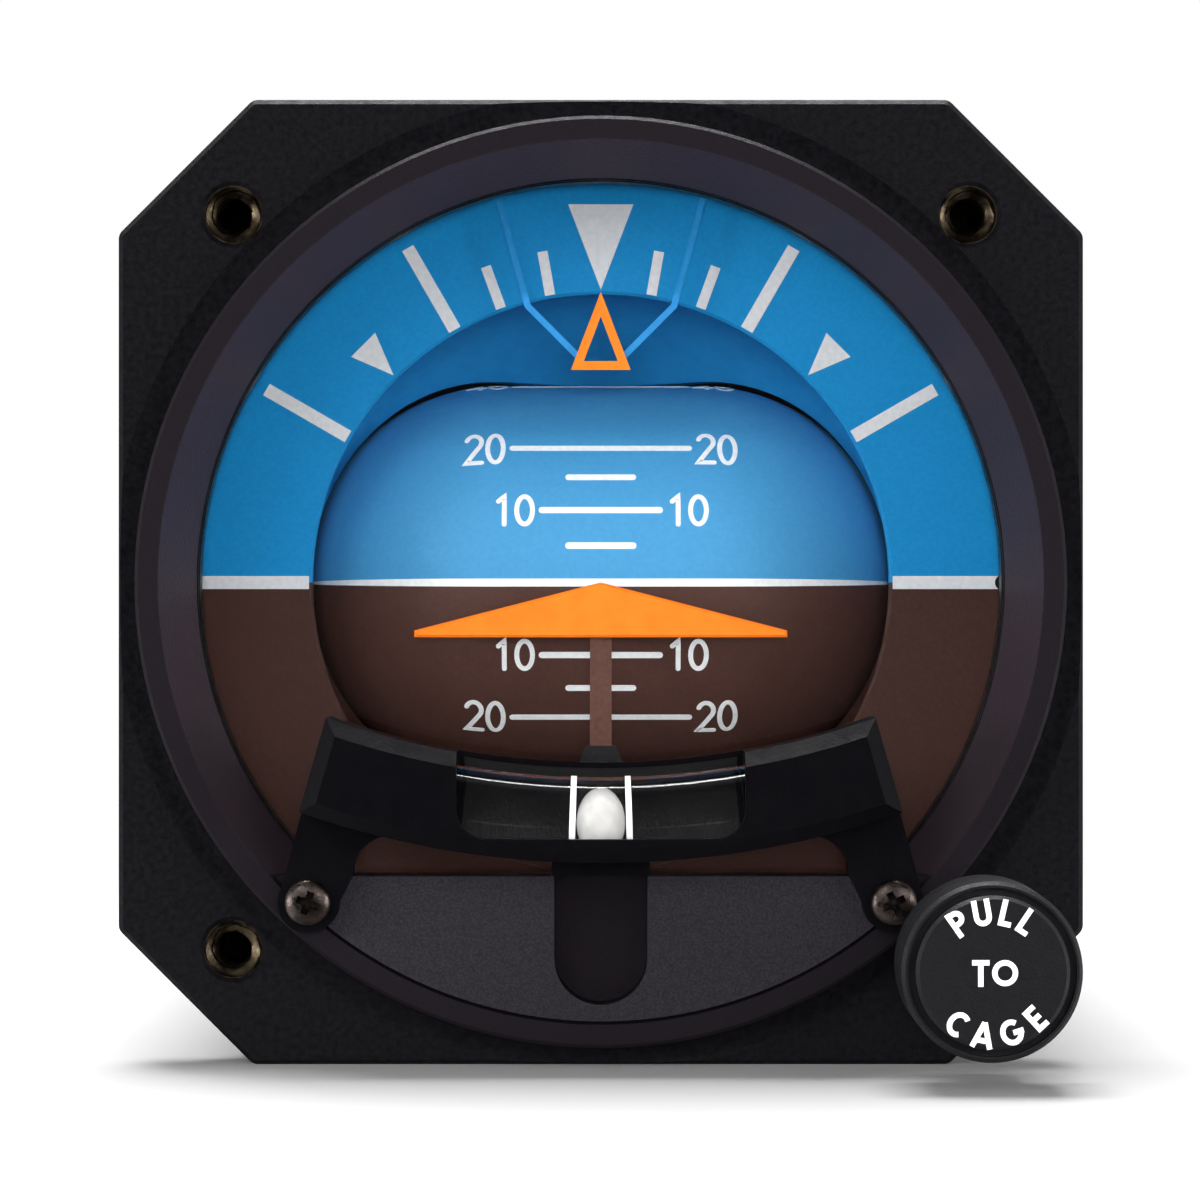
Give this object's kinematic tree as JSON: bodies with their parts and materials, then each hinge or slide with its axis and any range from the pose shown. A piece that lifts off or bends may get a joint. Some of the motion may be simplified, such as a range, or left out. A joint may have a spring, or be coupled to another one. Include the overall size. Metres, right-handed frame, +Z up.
{
  "type": "attitude indicator",
  "caption": "Panel-mounted gyro attitude indicator with a square flange, roll dial, geared pitch drum, slip tube and pull-to-cage knob.",
  "frame": {"origin": "centre of the flange's front face, on the roll axis", "axes": "-Y looks out of the front of the instrument, +Y runs back along the case, +X is right and +Z is up as the pilot sees it"},
  "size_m": [0.0826, 0.2053, 0.0826],
  "materials": {
    "ball_ceramic": "polished off-white ceramic",
    "bare_aluminium": "milled aluminium",
    "black_anodised": "fine black anodised casting",
    "black_plastic": "matt black plastic",
    "black_steel": "black oxide on steel",
    "blue_strip_paint": "satin blue enamel",
    "bracket_paint": "smooth black paint on a milled block",
    "brass_insert": "turned brass, lightly tarnished",
    "bright_steel": "ground steel",
    "brown_paint": "satin brown enamel",
    "case_paint": "satin black enamel on drawn aluminium",
    "circuit_laminate": "green circuit laminate",
    "clear_glass": "flat clear glass with a thin coating",
    "component_black": "moulded black packages",
    "cover_paint": "satin black enamel on machined aluminium",
    "dial_paint": "matt dial paint, blue over brown",
    "gear_brass": "cut brass",
    "gold_pin": "gold-flashed contact pins",
    "ground_paint": "matt brown paint",
    "insert_rubber": "grey-black moulded insert",
    "knob_plastic": "moulded black plastic, satin",
    "orange_paint": "satin orange enamel",
    "plate_crackle": "fine textured dark grey paint",
    "screw_steel": "dull steel",
    "seal_rubber": "moulded black rubber",
    "sky_paint": "matt blue paint",
    "socket_plating": "olive-plated aluminium shell",
    "tube_glass": "clear drawn glass tube"
  },
  "bodies": {
    "case": {"bezel": "black_anodised", "panel_inserts": "brass_insert", "front_glass": "clear_glass", "seal_rings": "seal_rubber", "glass_retainer": "black_steel", "lower_plate": "plate_crackle", "inclinometer_bracket": "bracket_paint", "inclinometer_tube": "tube_glass", "tube_fittings": "black_plastic", "bracket_screws": "screw_steel", "aircraft_symbol": "orange_paint", "aircraft_post": "brown_paint", "sky_pointer": "orange_paint", "sky_pointer_arms": "blue_strip_paint", "roll_bearings": "bright_steel", "brush_block": "component_black", "bearing_bulkhead": "bare_aluminium", "rod_bushing": "gear_brass", "cage_spring": "bright_steel", "main_case": "case_paint", "case_screws": "screw_steel", "rear_cover": "cover_paint", "rear_screws": "screw_steel", "circuit_board": "circuit_laminate", "board_posts": "bright_steel", "board_parts": "component_black", "socket_shell": "socket_plating", "socket_insert": "insert_rubber", "socket_pins": "gold_pin"},
    "roll_gimbal": {"roll_dial": "dial_paint", "sky_mask": "sky_paint", "ground_mask": "ground_paint", "pivot_bearings": "bright_steel", "gimbal_front_ring": "bare_aluminium", "gimbal_side_plates": "bare_aluminium", "gimbal_rear_wall": "bare_aluminium", "gimbal_screws": "screw_steel", "idler_posts": "gear_brass", "balance_weight": "gear_brass", "caging_cam": "bright_steel", "roll_shaft": "bright_steel", "slip_rings": "gold_pin"},
    "drum": {"pitch_drum": "dial_paint", "drum_axle": "bright_steel", "drum_pinion": "gear_brass"},
    "idler_a": {"idler_gear_a": "gear_brass"},
    "idler_b": {"idler_gear_b": "gear_brass"},
    "gyro": {"pitch_gear": "gear_brass", "gyro_housing": "bare_aluminium", "gyro_cap": "bare_aluminium", "gyro_trunnions": "bright_steel", "rotor_bearings": "bright_steel", "stator": "bright_steel", "gyro_ballast": "bare_aluminium"},
    "rotor": {"rotor": "gear_brass"},
    "erector": {"erector_disc": "bare_aluminium"},
    "ball": {"slip_ball": "ball_ceramic"},
    "cage_control": {"cage_rod": "bright_steel", "cage_knob": "knob_plastic", "cage_fork": "bright_steel"}
  },
  "joints": [
    {"name": "roll", "type": "hinge", "parent": "case", "child": "roll_gimbal", "pos_m": [0, 0.125, 0], "axis": [0, 1, 0], "continuous": true},
    {"name": "gyro_pitch", "type": "hinge", "parent": "roll_gimbal", "child": "gyro", "pos_m": [0, 0.0766, 0], "axis": [1, 0, 0], "range_deg": [-85, 85]},
    {"name": "idler_a_spin", "type": "hinge", "parent": "roll_gimbal", "child": "idler_a", "pos_m": [0.0319, 0.0577, 0], "axis": [1, 0, 0], "range_deg": [-150, 150]},
    {"name": "idler_b_spin", "type": "hinge", "parent": "roll_gimbal", "child": "idler_b", "pos_m": [0.0319, 0.0439, 0], "axis": [1, 0, 0], "range_deg": [-150, 150]},
    {"name": "drum_pitch", "type": "hinge", "parent": "roll_gimbal", "child": "drum", "pos_m": [0, 0.031, 0], "axis": [1, 0, 0], "range_deg": [-170, 170]},
    {"name": "rotor_spin", "type": "hinge", "parent": "gyro", "child": "rotor", "pos_m": [0, 0.0766, 0], "axis": [0, 0, 1], "continuous": true},
    {"name": "erector_spin", "type": "hinge", "parent": "gyro", "child": "erector", "pos_m": [0, 0.0766, 0.0168], "axis": [0, 0, 1], "continuous": true},
    {"name": "ball_roll", "type": "hinge", "parent": "case", "child": "ball", "pos_m": [0, -0.0072, 0.0537], "axis": [0, 1, 0], "range_deg": [-10.5, 10.5]},
    {"name": "cage_pull", "type": "slide", "parent": "case", "child": "cage_control", "axis": [0, -1, 0], "range_m": [0, 0.008], "stiffness_N_per_m": 300, "springref_m": -0.004, "deforming": ["cage_spring"]}
  ],
  "couplings": [
    {"joint": "idler_a_spin", "follows": "gyro_pitch", "ratio": -1.7391},
    {"joint": "idler_b_spin", "follows": "gyro_pitch", "ratio": 1.7391},
    {"joint": "drum_pitch", "follows": "gyro_pitch", "ratio": -2}
  ]
}
